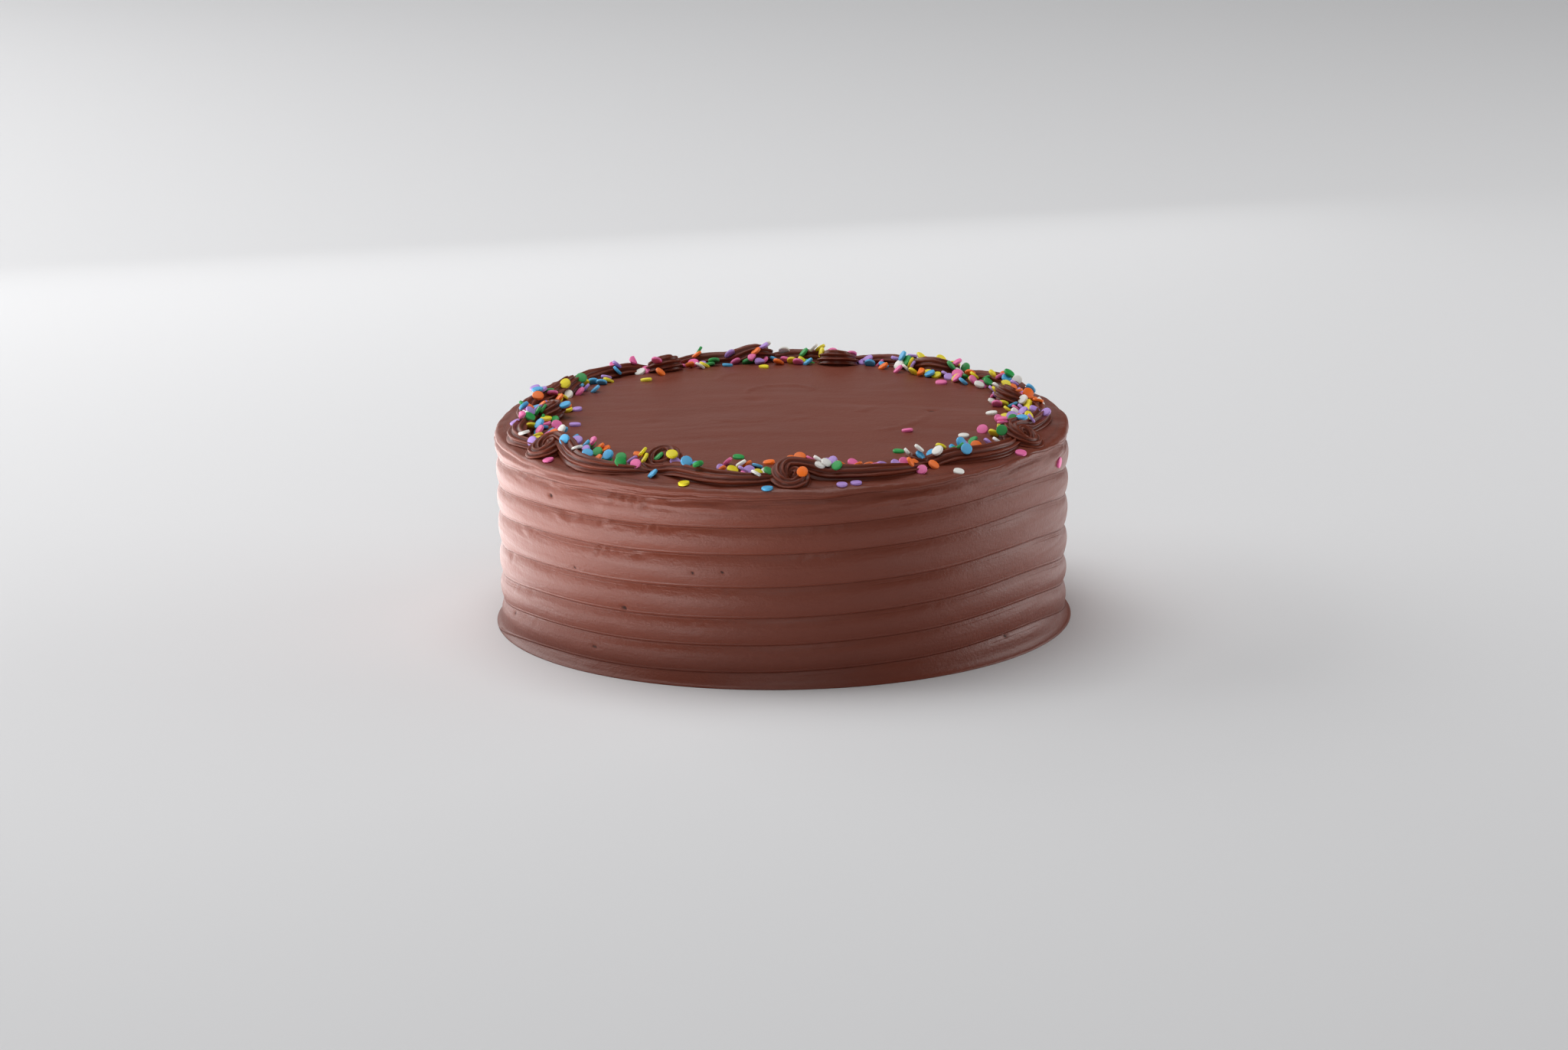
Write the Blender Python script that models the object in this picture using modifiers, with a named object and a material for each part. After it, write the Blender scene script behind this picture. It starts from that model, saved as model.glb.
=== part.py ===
"""A round iced cake with a banded side, a piped scroll border and confetti sprinkles.

Metres, +Z up. The origin is the middle of the flat underside. The front of the cake faces -Y.
"""

import math
import random

import bmesh
import bpy
from mathutils import Matrix, Vector
from mathutils.bvhtree import BVHTree

MM = 0.001

# Body of the cake
FOOT_RADIUS = 121.6 * MM
WAIST_RADIUS = 118.0 * MM
COLLAR_RADIUS = 121.0 * MM
LIP_RADIUS = 119.4 * MM
CENTRE_HEIGHT = 88.5 * MM
INNER_HEIGHT = 87.0 * MM
INNER_RADIUS = 96.0 * MM
LIP_HEIGHT = 83.4 * MM
COLLAR_HEIGHT = 81.2 * MM
FOOT_HEIGHT = 7.0 * MM
TURNING_STEPS = 56
SIDE_RINGS = 27
TOP_SHARES = (0.0, 0.35, 0.7, 1.0)
SLOPE_SHARES = (0.35, 0.7, 1.0)
SLOPE_BEND = 0.25
FLARE_SHARES = (0.5, 0.8)
FLARE_POWER = 2.2

# Bands that the icing knife left: grooves round the side, at their own height at the back, and
# how far they bow up or down at every 30 degrees from the left round the front
GROOVE_HEIGHTS = (-2.0, 9.5, 21.0, 34.0, 48.0, 59.5, 71.0, 85.0)
GROOVE_BOW = (0.5, 6.0, 7.2, 8.6, 10.4, 12.2, 4.5, -0.5, -1.0, 0.0, 1.0, 0.0)
LEFT_ANGLE = -180.0
BAND_BULGE = 1.3 * MM
BAND_ROUNDNESS = 2.4
BAND_FADE = 4.0 * MM
SIDE_LEAN = 1.7 * MM

# Piped border: curls that lean out and in by turns, each trailing a rope to the next
BORDER_RADIUS = 105.5 * MM
CURL_OFFSET = 5.0 * MM
CURL_RADIUS = 8.4 * MM
CURL_HEIGHT = 8.4 * MM
CURL_RIDGES = 6
CURL_RINGS = 6
RIDGE_DEPTH = 0.11
CURL_TWIST = 1.1
CURL_SINK = 0.4 * MM
WRAP_RADIUS = 6.2 * MM
WRAP_FROM = 165.0
WRAP_TO = 255.0
WRAP_POINTS = 4
WRAP_LIFT = 1.92 * MM
WRAP_FALL = 0.48 * MM
WRAP_THINNEST = 0.72
WRAP_GROWTH = 0.2
ROPE_RADIUS = 5.6 * MM
ROPE_POINTS = 8
ROPE_LIFT = 1.44 * MM
ROPE_FALL = 1.04 * MM
ROPE_THICKNESS = 0.92
ROPE_SWELL = 0.1
TAIL_RADIUS = 108.0 * MM
TAIL_SHARE = 0.97
TAIL_TAPER = 0.22
SCALLOP = 2.6 * MM
STAR_POINTS = 5
STAR_DEPTH = 0.28
FIRST_CURL = -151.0
CURL_STEPS = (31.0, 32.0, 32.0, 32.0, 36.0, 36.0, 28.0, 20.0, 24.0, 31.0, 28.0, 30.0)
GAP = 0.3 * MM
CUTTER_MARGIN = 6.0 * MM
CUTTER_DEPTH = 20.0 * MM

# Sprinkles: each handful is its angle, its spread and how many fell there, of which a share is made
SPRINKLE_RADIUS = 2.4 * MM
SPRINKLE_THICKNESS = 1.3 * MM
SPRINKLE_SIDES = 6
SPRINKLE_SPACING = 3.9 * MM
SPRINKLE_SHARE = 0.46
SPRINKLE_RISE = 0.15 * MM
SURFACE_PULL = 1.3
RANDOM_LEAN = 0.6
DRAWS_PER_SPRINKLE = 40
STRAY_RISE = 0.13 * MM
STRAY_TILT = 0.1
HANDFULS = (
    (181.0, 11.0, 44), (152.0, 10.0, 12), (122.0, 12.0, 14), (93.0, 9.0, 26),
    (66.0, 8.0, 12), (41.0, 10.0, 34), (8.0, 11.0, 34), (-20.0, 9.0, 14),
    (-50.0, 9.0, 18), (-84.0, 9.0, 24), (-108.0, 8.0, 10), (-133.0, 8.0, 16),
    (-155.0, 7.0, 12),
)
HANDFUL_RADIUS = 104.0 * MM
HANDFUL_WIDTH = 5.5 * MM
HANDFUL_LIMIT = 11.0 * MM
SEED = 9

# Sprinkles that lie apart on the smooth icing: angle and distance from the middle in mm
STRAYS = (
    (-30.6, 87.9), (-34.9, 63.8), (-2.9, 88.5), (-102.8, 80.7), (-110.0, 117.2),
    (-93.5, 88.0), (-56.0, 86.0), (-52.0, 117.4), (-33.0, 117.6), (-101.0, 117.4),
    (-78.0, 88.5), (172.0, 87.5), (-170.0, 88.0), (38.0, 87.0), (95.0, 87.5), (131.0, 88.5),
)

ICING_COLOUR = (0.135, 0.048, 0.030, 1.0)
PIPING_COLOUR = (0.090, 0.030, 0.019, 1.0)
ICING_ROUGHNESS = 0.42
PIPING_ROUGHNESS = 0.36
WELD_DISTANCE = 0.005 * MM
TURN_WELD_DISTANCE = 0.05 * MM
SMOOTHING_ANGLE = 40.0


def clear_scene():
    """Remove every object that the scene starts with."""
    for obj in list(bpy.data.objects):
        bpy.data.objects.remove(obj, do_unlink=True)


def new_collection(name):
    """A collection linked to the scene."""
    collection = bpy.data.collections.new(name)
    bpy.context.scene.collection.children.link(collection)
    return collection


def make_material(name, colour, roughness):
    """A plain icing material."""
    material = bpy.data.materials.new(name)
    material.use_nodes = True
    shader = material.node_tree.nodes["Principled BSDF"]
    shader.inputs["Base Color"].default_value = colour
    shader.inputs["Roughness"].default_value = roughness
    shader.inputs["Metallic"].default_value = 0.0
    return material


def evaluated_copy(obj):
    """The object's mesh as its modifiers leave it."""
    graph = bpy.context.evaluated_depsgraph_get()
    return bpy.data.meshes.new_from_object(obj.evaluated_get(graph), depsgraph=graph)


def apply_modifiers(obj):
    """Keep what the modifiers made and drop the modifiers."""
    mesh = evaluated_copy(obj)
    obj.modifiers.clear()
    old = obj.data
    obj.data = mesh
    bpy.data.meshes.remove(old)


def top_profile():
    """Radius and height of the top, from the middle out to the lip."""
    dome = CENTRE_HEIGHT - INNER_HEIGHT
    profile = [(INNER_RADIUS * s, CENTRE_HEIGHT - dome * s * s) for s in TOP_SHARES]
    fall = INNER_HEIGHT - LIP_HEIGHT
    reach = LIP_RADIUS - INNER_RADIUS
    for s in SLOPE_SHARES:
        drop = fall * (s + SLOPE_BEND * (s * s - s))
        profile.append((INNER_RADIUS + reach * s, INNER_HEIGHT - drop))
    return profile


def top_height(radius):
    """Height of the iced top at a distance from the middle."""
    profile = top_profile()
    for (r0, z0), (r1, z1) in zip(profile, profile[1:]):
        if radius <= r1:
            return z0 + (z1 - z0) * (radius - r0) / (r1 - r0)
    return profile[-1][1]


def side_profile():
    """Radius and height of the side, from the collar down to the foot."""
    profile = [(COLLAR_RADIUS, COLLAR_HEIGHT)]
    drop = COLLAR_HEIGHT - FOOT_HEIGHT
    for ring in range(1, SIDE_RINGS):
        height = COLLAR_HEIGHT - drop * ring / (SIDE_RINGS - 1)
        lean = SIDE_LEAN * (height - FOOT_HEIGHT) / drop
        profile.append((WAIST_RADIUS + lean, height))
    flare = FOOT_RADIUS - WAIST_RADIUS
    for s in FLARE_SHARES:
        profile.append((WAIST_RADIUS + flare * s ** FLARE_POWER, FOOT_HEIGHT * (1.0 - s)))
    profile.append((FOOT_RADIUS, 0.0))
    return profile


def round_the_cake(values, degrees):
    """A smooth value round the cake from values spaced evenly from the left round the front."""
    place = ((degrees - LEFT_ANGLE) / 360.0 % 1.0) * len(values)
    first = int(place)
    s = place - first
    before, here, there, after = (values[(first + k) % len(values)] for k in (-1, 0, 1, 2))
    rise = (there - before) / 2.0
    next_rise = (after - here) / 2.0
    bend = 3.0 * (there - here) - 2.0 * rise - next_rise
    turn = rise + next_rise - 2.0 * (there - here)
    return here + s * (rise + s * (bend + s * turn))


def band_bulge(angle, height):
    """How far the icing stands out between two grooves."""
    level = height / MM - round_the_cake(GROOVE_BOW, math.degrees(angle))
    bulge = 0.0
    for low, high in zip(GROOVE_HEIGHTS, GROOVE_HEIGHTS[1:]):
        if low <= level < high:
            across = 2.0 * (level - low) / (high - low) - 1.0
            bulge = BAND_BULGE * (1.0 - abs(across) ** BAND_ROUNDNESS)
    foot_fade = min(1.0, max(0.0, height / FOOT_HEIGHT))
    collar_fade = min(1.0, max(0.0, (COLLAR_HEIGHT - height) / BAND_FADE))
    return bulge * foot_fade * collar_fade


def turned_object(name, profile, collection):
    """A closed turned solid from a profile that runs from the top down the outside."""
    mesh = bpy.data.meshes.new(name)
    corners = [(radius, 0.0, height) for radius, height in profile]
    edges = [(i, i + 1) for i in range(len(corners) - 1)]
    mesh.from_pydata(corners, edges, [])
    obj = bpy.data.objects.new(name, mesh)
    collection.objects.link(obj)
    screw = obj.modifiers.new("Turn", "SCREW")
    screw.axis = "Z"
    screw.angle = math.tau
    screw.steps = TURNING_STEPS
    screw.render_steps = TURNING_STEPS
    screw.use_merge_vertices = True
    screw.merge_threshold = TURN_WELD_DISTANCE
    apply_modifiers(obj)
    tidy_mesh(obj.data)
    return obj


def tidy_mesh(mesh):
    """Weld stray doubles and turn the faces outward."""
    work = bmesh.new()
    work.from_mesh(mesh)
    bmesh.ops.remove_doubles(work, verts=work.verts, dist=WELD_DISTANCE)
    bmesh.ops.dissolve_degenerate(work, edges=work.edges, dist=WELD_DISTANCE)
    bmesh.ops.recalc_face_normals(work, faces=work.faces)
    work.to_mesh(mesh)
    work.free()
    mesh.update()


def comb_side(obj):
    """Push the side's points out into bands."""
    for vertex in obj.data.vertices:
        radius = math.hypot(vertex.co.x, vertex.co.y)
        if radius < WAIST_RADIUS - MM or vertex.co.z > COLLAR_HEIGHT:
            continue
        angle = math.atan2(vertex.co.y, vertex.co.x)
        stretch = 1.0 + band_bulge(angle, vertex.co.z) / radius
        vertex.co.x *= stretch
        vertex.co.y *= stretch
    obj.data.update()


def polar(radius, degrees, height):
    """A point from its distance and angle round the middle."""
    angle = math.radians(degrees)
    return Vector((radius * math.cos(angle), radius * math.sin(angle), height))


def star_profile(collection):
    """The star outline that the nozzle gives a rope, one metre across its points' circle."""
    curve = bpy.data.curves.new("nozzle", "CURVE")
    curve.dimensions = "2D"
    spline = curve.splines.new("POLY")
    count = 2 * STAR_POINTS
    spline.points.add(count - 1)
    for i, point in enumerate(spline.points):
        reach = 1.0 if i % 2 == 0 else 1.0 - STAR_DEPTH
        turn = math.tau * i / count
        point.co = (reach * math.sin(turn), reach * math.cos(turn), 0.0, 1.0)
    spline.use_cyclic_u = True
    star = bpy.data.objects.new("nozzle", curve)
    star.hide_render = True
    star.display_type = "WIRE"
    collection.objects.link(star)
    return star


def curl_angles():
    """Where each curl of the border stands, in degrees."""
    angles = [FIRST_CURL]
    for step in CURL_STEPS:
        angles.append(angles[-1] + step)
    return angles


def curl_middle(side):
    """Distance of a curl from the middle of the cake; side is 1 for outer and -1 for inner."""
    return BORDER_RADIUS + side * CURL_OFFSET


def rope_path(start, end, side):
    """Places and thicknesses of a rope that winds round its curl and runs on under the next."""
    stations = []
    middle = curl_middle(side)
    for i in range(WRAP_POINTS):
        s = i / WRAP_POINTS
        turn = math.radians(WRAP_FROM + (WRAP_TO - WRAP_FROM) * s)
        along = WRAP_RADIUS * math.cos(turn)
        radius = middle + side * WRAP_RADIUS * math.sin(turn)
        degrees = start + math.degrees(along / middle)
        thickness = WRAP_THINNEST + WRAP_GROWTH * s
        stations.append((degrees, radius, WRAP_LIFT - WRAP_FALL * s, thickness))
    leave = middle - side * WRAP_RADIUS
    for i in range(ROPE_POINTS):
        s = i / (ROPE_POINTS - 1)
        arch = math.sin(math.pi * s)
        ease = s * s * (3.0 - 2.0 * s)
        degrees = start + (end - start) * TAIL_SHARE * s
        radius = leave + (TAIL_RADIUS - leave) * ease + SCALLOP * arch
        lift = ROPE_LIFT - ROPE_FALL * min(1.0, 2.0 * s)
        thickness = ROPE_THICKNESS + ROPE_SWELL * arch - TAIL_TAPER * s ** 3
        stations.append((degrees, radius, lift, thickness))
    return [
        (polar(radius, degrees, top_height(radius) + lift), ROPE_RADIUS * thickness)
        for degrees, radius, lift, thickness in stations
    ]


def make_rope(index, start, end, side, star, collection):
    """One piped rope as a closed mesh."""
    name = "rope_%02d" % index
    curve = bpy.data.curves.new(name, "CURVE")
    curve.dimensions = "3D"
    curve.twist_mode = "Z_UP"
    curve.bevel_mode = "OBJECT"
    curve.bevel_object = star
    curve.use_fill_caps = True
    spline = curve.splines.new("POLY")
    path = rope_path(start, end, side)
    spline.points.add(len(path) - 1)
    for point, (place, thickness) in zip(spline.points, path):
        point.co = (place.x, place.y, place.z, 1.0)
        point.radius = thickness
    rope = bpy.data.objects.new(name, curve)
    collection.objects.link(rope)
    mesh = evaluated_copy(rope)
    tidy_mesh(mesh)
    solid = bpy.data.objects.new(name, mesh)
    solid.matrix_world = rope.matrix_world.copy()
    bpy.data.objects.remove(rope, do_unlink=True)
    collection.objects.link(solid)
    return solid


def make_curl(index, degrees, side, collection):
    """One rosette: a low dome whose ridges wind in to its eye."""
    work = bmesh.new()
    bmesh.ops.create_uvsphere(
        work,
        u_segments=2 * CURL_RIDGES,
        v_segments=CURL_RINGS,
        radius=1.0,
    )
    for vertex in work.verts:
        level = vertex.co.z
        reach = math.hypot(vertex.co.x, vertex.co.y)
        angle = math.atan2(vertex.co.y, vertex.co.x)
        ridge = 1.0 + RIDGE_DEPTH * reach * math.cos(CURL_RIDGES * angle)
        swirl = angle + side * CURL_TWIST * level
        vertex.co.x = CURL_RADIUS * reach * ridge * math.cos(swirl)
        vertex.co.y = CURL_RADIUS * reach * ridge * math.sin(swirl)
        vertex.co.z = CURL_HEIGHT * level
    radius = curl_middle(side)
    place = polar(radius, degrees, top_height(radius) - CURL_SINK)
    turn = Matrix.Rotation(math.radians(degrees), 4, "Z")
    bmesh.ops.transform(work, matrix=Matrix.Translation(place) @ turn, verts=work.verts)
    bmesh.ops.recalc_face_normals(work, faces=work.faces)
    mesh = bpy.data.meshes.new("curl_%02d" % index)
    work.to_mesh(mesh)
    work.free()
    curl = bpy.data.objects.new(mesh.name, mesh)
    collection.objects.link(curl)
    return curl


def surface_tree(objects):
    """A search tree over the faces of several objects."""
    corners = []
    faces = []
    for obj in objects:
        first = len(corners)
        corners.extend(obj.matrix_world @ v.co for v in obj.data.vertices)
        faces.extend([first + i for i in p.vertices] for p in obj.data.polygons)
    return BVHTree.FromPolygons(corners, faces)


def make_sprinkle(name, place, axis, collection):
    """One flat round sprinkle, its faces square to the axis."""
    work = bmesh.new()
    bmesh.ops.create_cone(
        work,
        cap_ends=True,
        segments=SPRINKLE_SIDES,
        radius1=SPRINKLE_RADIUS,
        radius2=SPRINKLE_RADIUS,
        depth=SPRINKLE_THICKNESS,
    )
    turn = axis.to_track_quat("Z", "Y").to_matrix().to_4x4()
    bmesh.ops.transform(work, matrix=Matrix.Translation(place) @ turn, verts=work.verts)
    mesh = bpy.data.meshes.new(name)
    work.to_mesh(mesh)
    work.free()
    sprinkle = bpy.data.objects.new(name, mesh)
    collection.objects.link(sprinkle)
    return sprinkle


def scatter_handfuls(tree):
    """Places and axes of the sprinkles that fell on the border."""
    draw = random.Random(SEED)
    placed = []
    for middle, spread, count in HANDFULS:
        for _ in range(round(count * SPRINKLE_SHARE)):
            for _ in range(DRAWS_PER_SPRINKLE):
                degrees = draw.gauss(middle, spread)
                offset = draw.gauss(0.0, HANDFUL_WIDTH)
                lean = Vector((draw.uniform(-1, 1), draw.uniform(-1, 1), draw.uniform(0.2, 1)))
                if abs(offset) > HANDFUL_LIMIT:
                    continue
                above = polar(HANDFUL_RADIUS + offset, degrees, CENTRE_HEIGHT + CURL_HEIGHT * 2.0)
                place, normal, _, _ = tree.ray_cast(above, Vector((0.0, 0.0, -1.0)))
                if place is None or place.z < top_height(math.hypot(place.x, place.y)) + MM:
                    continue
                if any((place - other).length < SPRINKLE_SPACING for other, _ in placed):
                    continue
                axis = (normal * SURFACE_PULL + lean.normalized() * RANDOM_LEAN).normalized()
                placed.append((place, axis))
                break
    return placed


def fuse(obj, collection):
    """Join a collection's pieces to an object and remove them.

    The manifold solver is used because the exact one leaves open edges where many ropes,
    curls and sprinkles meet.
    """
    joint = obj.modifiers.new("Join", "BOOLEAN")
    joint.operation = "UNION"
    joint.solver = "MANIFOLD"
    joint.operand_type = "COLLECTION"
    joint.collection = collection
    apply_modifiers(obj)
    for piece in list(collection.objects):
        bpy.data.objects.remove(piece, do_unlink=True)


def keep_largest_shell(mesh):
    """Keep the biggest connected skin, which drops scraps and fills sealed hollows."""
    work = bmesh.new()
    work.from_mesh(mesh)
    unseen = set(work.faces)
    shells = []
    while unseen:
        front = [unseen.pop()]
        shell = set(front)
        while front:
            face = front.pop()
            for edge in face.edges:
                for other in edge.link_faces:
                    if other in unseen:
                        unseen.discard(other)
                        shell.add(other)
                        front.append(other)
        shells.append(shell)
    biggest = max(shells, key=len)
    scraps = [face for face in work.faces if face not in biggest]
    bmesh.ops.delete(work, geom=scraps, context="FACES")
    loose = [vertex for vertex in work.verts if not vertex.link_faces]
    bmesh.ops.delete(work, geom=loose, context="VERTS")
    work.to_mesh(mesh)
    work.free()
    mesh.update()


def finish(obj, name, material):
    """Name, material and shading of a finished piece."""
    obj.name = name
    obj.data.name = name
    obj.data.materials.clear()
    obj.data.materials.append(material)
    obj.data.shade_smooth()
    obj.data.set_sharp_from_angle(angle=math.radians(SMOOTHING_ANGLE))


def seat_cutter(helpers):
    """A solid of the cake's top, a gap larger, that gives the border its seat."""
    rim = LIP_RADIUS + CUTTER_MARGIN
    floor = LIP_HEIGHT - CUTTER_DEPTH
    profile = [(radius, height + GAP) for radius, height in top_profile()]
    profile += [(rim, LIP_HEIGHT + GAP), (rim, floor), (0.0, floor)]
    cutter = turned_object("top cutter", profile, helpers)
    cutter.hide_render = True
    cutter.display_type = "WIRE"
    return cutter


def build_border(collection, helpers):
    """The ring of scrolls with the sprinkles that fell on it."""
    pieces = new_collection("border pieces")
    star = star_profile(helpers)
    angles = curl_angles()
    made = []
    for index in range(len(CURL_STEPS)):
        side = 1 if index % 2 == 0 else -1
        made.append(make_curl(index, angles[index], side, pieces))
        made.append(make_rope(index, angles[index], angles[index + 1], side, star, pieces))
    tree = surface_tree(made)
    for number, (place, axis) in enumerate(scatter_handfuls(tree)):
        make_sprinkle("sprinkle_%03d" % number, place + axis * SPRINKLE_RISE, axis, pieces)
    border = made[0]
    pieces.objects.unlink(border)
    collection.objects.link(border)
    fuse(border, pieces)
    cutter = seat_cutter(helpers)
    cut = border.modifiers.new("Seat", "BOOLEAN")
    cut.operation = "DIFFERENCE"
    cut.solver = "MANIFOLD"
    cut.object = cutter
    apply_modifiers(border)
    keep_largest_shell(border.data)
    bpy.data.objects.remove(star, do_unlink=True)
    bpy.data.objects.remove(cutter, do_unlink=True)
    return border


def build_body(collection, border):
    """The iced cake with the sprinkles that lie apart on it."""
    profile = top_profile() + side_profile() + [(0.0, 0.0)]
    body = turned_object("body", profile, collection)
    comb_side(body)
    strays = new_collection("stray sprinkles")
    tree = surface_tree([border])
    draw = random.Random(SEED + 1)
    for number, (degrees, radius) in enumerate(STRAYS):
        reach = radius * MM
        place = polar(reach, degrees, top_height(reach) + STRAY_RISE)
        lean_x = draw.uniform(-STRAY_TILT, STRAY_TILT)
        lean_y = draw.uniform(-STRAY_TILT, STRAY_TILT)
        _, _, _, distance = tree.find_nearest(place)
        if distance < SPRINKLE_RADIUS + SPRINKLE_THICKNESS:
            continue
        tilt = Vector((lean_x, lean_y, 1.0)).normalized()
        make_sprinkle("stray_%02d" % number, place, tilt, strays)
    fuse(body, strays)
    keep_largest_shell(body.data)
    return body


def main():
    """Build the cake."""
    clear_scene()
    cake = new_collection("chocolate_cake")
    helpers = new_collection("helpers")
    border = build_border(cake, helpers)
    body = build_body(cake, border)
    finish(border, "piped_border", make_material("piped_icing", PIPING_COLOUR, PIPING_ROUGHNESS))
    finish(body, "frosted_cake", make_material("chocolate_icing", ICING_COLOUR, ICING_ROUGHNESS))


main()
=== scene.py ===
"""A chocolate cake: banded buttercream, a piped scroll border and confetti sprinkles, on a pale stage.

Metres, +Z up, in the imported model's frame. The front of the cake faces -Y.
"""

import math
import random

import bmesh
import bpy
from mathutils import Matrix, Vector, noise
from mathutils.bvhtree import BVHTree


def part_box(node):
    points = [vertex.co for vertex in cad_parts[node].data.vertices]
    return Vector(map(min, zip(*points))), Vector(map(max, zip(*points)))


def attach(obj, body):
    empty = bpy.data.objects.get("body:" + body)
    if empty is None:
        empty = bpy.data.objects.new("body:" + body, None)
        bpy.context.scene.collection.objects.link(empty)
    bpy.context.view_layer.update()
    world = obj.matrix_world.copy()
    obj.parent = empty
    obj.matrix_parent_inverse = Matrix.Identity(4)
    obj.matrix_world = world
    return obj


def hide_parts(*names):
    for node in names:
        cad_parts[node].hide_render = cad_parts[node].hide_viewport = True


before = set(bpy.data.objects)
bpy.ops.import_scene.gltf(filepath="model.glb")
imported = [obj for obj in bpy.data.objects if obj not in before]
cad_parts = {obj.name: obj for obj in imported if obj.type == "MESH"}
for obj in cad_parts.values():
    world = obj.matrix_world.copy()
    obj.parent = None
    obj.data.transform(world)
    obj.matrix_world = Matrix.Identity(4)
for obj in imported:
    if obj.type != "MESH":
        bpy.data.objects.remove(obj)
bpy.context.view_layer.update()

MM = 0.001
BODY_NODE = "frosted_cake"
BORDER_NODE = "piped_border"
MODEL_BODY = "root"

# Camera, fitted to the ellipses of the cake in a frame of 2048 by 1372
CAMERA_DISTANCE = 3.166
CAMERA_ELEVATION = 14.1
CAMERA_ROLL = -0.71
CAMERA_AIM = (0.00045, 0.0, 0.0391)
FOCAL_PIXELS = 9771.0
FRAME_WIDTH = 2048.0
SENSOR_WIDTH = 36.0

# Body of the cake
FOOT_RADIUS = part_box(BODY_NODE)[1].x
WAIST_RADIUS = 118.0 * MM
COLLAR_RADIUS = 121.0 * MM
LIP_RADIUS = 119.0 * MM
CENTRE_HEIGHT = 88.5 * MM
INNER_HEIGHT = 87.0 * MM
INNER_RADIUS = 96.0 * MM
LIP_HEIGHT = 83.6 * MM
COLLAR_HEIGHT = 81.0 * MM
FOOT_HEIGHT = 7.0 * MM
SIDE_LEAN = 1.7 * MM
BODY_STEPS = 540
BODY_WEDGES = 12
TOP_RINGS = 62
SIDE_RINGS = 104

# Bands that the icing knife left: each groove's height at the back and the bow that all share
GROOVE_HEIGHTS = (-14.0, -2.0, 9.5, 21.0, 34.0, 48.0, 59.5, 71.0, 86.0)
GROOVE_BOW = (0.5, 6.0, 7.2, 8.6, 10.4, 12.2, 4.5, -0.5, -1.0, 0.0, 1.0, 0.0)
LEFT_ANGLE = -180.0
BAND_BULGE = 1.45
BAND_ROUNDNESS = 2.1
BAND_PEAK = 0.56
FOLD_DEPTH = 1.1
FOLD_LEAST = 0.12
FOLD_SPACING = 8.0
FOLD_REACH = 5.5
FOLD_SLANT = 0.11
FOLD_ANGLE = -122.0
FOLD_SPREAD = 48.0

# Dents and air holes in the side: angle, height, reach and depth in degrees and mm
DENTS = (
    (-131.0, 73.5, 6.5, 0.7), (-162.0, 36.0, 3.5, 0.5), (-118.0, 74.5, 5.0, 0.3),
    (-142.5, 71.3, 1.6, 1.1), (-123.5, 29.8, 1.8, 1.0), (-161.5, 12.0, 1.3, 0.6), (-131.0, 11.0, 1.5, 0.6),
    (-39.5, 9.3, 1.4, 0.7), (-102.0, 49.0, 1.2, 0.4), (-108.0, 48.0, 1.2, 0.4), (-136.0, 43.0, 1.2, 0.3),
)
HOLE_SIZE = 2.5
ARC_WIDTH = 2.2
COLLAR_ROUGHNESS = 0.9
LIP_ROUGHNESS = 0.75

# Dips in the top: place, reach and depth in mm. Strokes: centre, radius, angles and height
TOP_DENTS = (
    (-11.0, 23.0, 7.0, 0.5), (63.6, 0.4, 2.2, 0.9), (-53.0, -14.0, 6.0, 0.35), (-30.0, 87.0, 5.0, 0.3),
)
TOP_ARCS = (
    (0.0, 37.0, 15.0, 10.0, 185.0, 0.50), (-16.0, 66.0, 11.0, 95.0, 200.0, 0.38),
    (-4.0, 4.0, 20.0, 280.0, 350.0, 0.28), (-14.0, 0.0, 17.0, 215.0, 300.0, 0.26),
    (20.0, 12.0, 18.0, 300.0, 359.0, 0.28), (22.0, 2.0, 41.0, 285.0, 358.0, 0.42),
)

# Piped border
FIRST_CURL = -151.0
CURL_STEPS = (31.0, 32.0, 32.0, 32.0, 36.0, 36.0, 28.0, 20.0, 24.0, 31.0, 28.0, 30.0)
CURL_RADII = (111.5, 98.5, 110.5, 98.5, 110.0, 101.0, 105.5, 99.5, 111.0, 103.0, 109.0, 99.6)
CURL_TURNS = (1.35, 1.4, 1.3, 0.3, 1.3, 1.4, 1.35, 1.3, 1.4, 1.3, 1.35, 1.4)
EYE_RADIUS = 1.2 * MM
EYE_SINK = 1.6 * MM
WRAP_RADIUS = 5.9 * MM
LOOP_LIFT = 1.3 * MM
LOOP_SLOPE = 0.50
LOOP_SIZE = 0.84
ROPE_LIFT = 0.7 * MM
ROPE_HALF_WIDTH = 5.3 * MM
ROPE_HALF_HEIGHT = 4.8 * MM
ROPE_RIDGES = 10
RIDGE_POINTS = 7
RIDGE_DEPTH = 0.28
RIDGE_SHARPNESS = 1.3
ROPE_TWIST = 0.012
TAIL_RADIUS = 108.0 * MM
TAIL_DROP = 1.1 * MM
SCALLOPS = (6.5, 5.5, 3.0, 4.0, 2.5, 3.5, 4.0, 3.5, 3.0, 3.5, 2.5, 7.0)
WRAP_STATIONS = 64
ROPE_STATIONS = 46

# Sprinkles
SPRINKLE_RADIUS = 2.42 * MM
SPRINKLE_THICKNESS = 1.25 * MM
SPRINKLE_SIDES = 14
SPRINKLE_SPACING = 4.0 * MM
SPRINKLE_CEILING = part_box(BORDER_NODE)[1].z - 0.1 * MM
SPRINKLE_LEAN = 1.15
HANDFULS = (
    (181.0, 10.0, 46), (152.0, 10.0, 14), (122.0, 12.0, 16), (93.0, 9.0, 30),
    (66.0, 8.0, 16), (41.0, 10.0, 40), (8.0, 11.0, 40), (-20.0, 9.0, 16),
    (-50.0, 9.0, 20), (-84.0, 10.0, 34), (-108.0, 8.0, 12), (-133.0, 7.0, 18),
    (-155.0, 7.0, 14),
)
HANDFUL_RADIUS = 102.0 * MM
HANDFUL_WIDTH = 5.5 * MM
HANDFUL_LIMIT = 11.0 * MM
SEED = 9
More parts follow.
